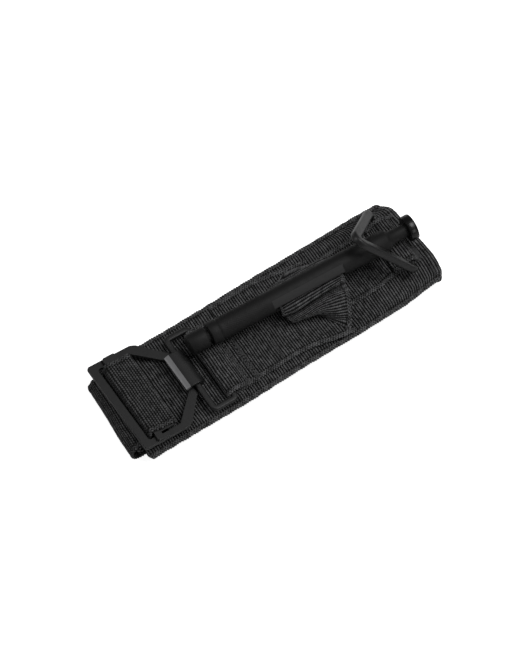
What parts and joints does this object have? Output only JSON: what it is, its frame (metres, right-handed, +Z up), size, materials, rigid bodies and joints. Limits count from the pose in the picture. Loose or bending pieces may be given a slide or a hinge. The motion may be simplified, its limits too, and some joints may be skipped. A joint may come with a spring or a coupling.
{
  "type": "windlass tourniquet",
  "caption": "Folded webbing tourniquet with a metal windlass rod through a strap loop, a triangular holding ring, and a hook buckle with a sliding bar hung on a rectangular link ring.",
  "frame": {"origin": "centre of the face that the folded package lies on, under the middle of the pad", "axes": "+X along the package from the buckle to the triangular ring, +Y across it towards the side that the rod's buckle end lies on, +Z up"},
  "size_m": [0.1519, 0.0453, 0.0363],
  "materials": {
    "pad_webbing": "black ribbed nylon webbing, matt",
    "strap_webbing": "black nylon webbing with a fine basket weave, matt",
    "thread": "black bonded nylon thread",
    "black_steel": "satin black coated steel, bare at the hook's edge",
    "worn_steel": "satin black coated steel, rubbed lighter",
    "black_aluminium": "black anodised, part knurled"
  },
  "bodies": {
    "root": {"pad": "pad_webbing", "load_strap": "strap_webbing", "end_wrap": "strap_webbing", "tail_folds": "strap_webbing", "tail_end_stop": "strap_webbing", "link_tab": "pad_webbing", "tension_strap": "pad_webbing", "loop_foot_near": "pad_webbing", "loop_foot_far": "pad_webbing", "anchor_strap": "pad_webbing", "ring_loop": "pad_webbing", "tab_tacks": "thread", "loop_tacks": "thread", "anchor_tacks": "thread", "end_tacks": "thread"},
    "link": {"link_ring": "black_steel"},
    "buckle": {"buckle_frame": "black_steel", "bar_strap": "strap_webbing", "window_strap": "strap_webbing"},
    "slider": {"slider_bar": "black_steel", "slider_strap": "strap_webbing"},
    "windlass": {"windlass_rod": "black_aluminium", "windlass_loop": "pad_webbing"},
    "holding_ring": {"tri_ring": "worn_steel"}
  },
  "joints": [
    {"name": "link_ring_tilt", "type": "hinge", "parent": "root", "child": "link", "pos_m": [-0.0276, 0, 0.01075], "axis": [0, 1, 0], "range_deg": [0, 5]},
    {"name": "buckle_tilt", "type": "hinge", "parent": "link", "child": "buckle", "pos_m": [-0.0378, 0, 0.0118], "axis": [0, 1, 0], "range_deg": [0, 25]},
    {"name": "slider_slide", "type": "slide", "parent": "buckle", "child": "slider", "axis": [0.9903, 0, -0.1392], "range_m": [0, 0.004]},
    {"name": "windlass_turn", "type": "hinge", "parent": "root", "child": "windlass", "pos_m": [0.0215, 0.0039, 0.0191], "axis": [0, 0, 1], "range_deg": [-4, 4]},
    {"name": "holding_ring_swing", "type": "hinge", "parent": "root", "child": "holding_ring", "pos_m": [0.0643, 0.0026, 0.01125], "axis": [0, 1, 0], "range_deg": [0, 92]}
  ]
}
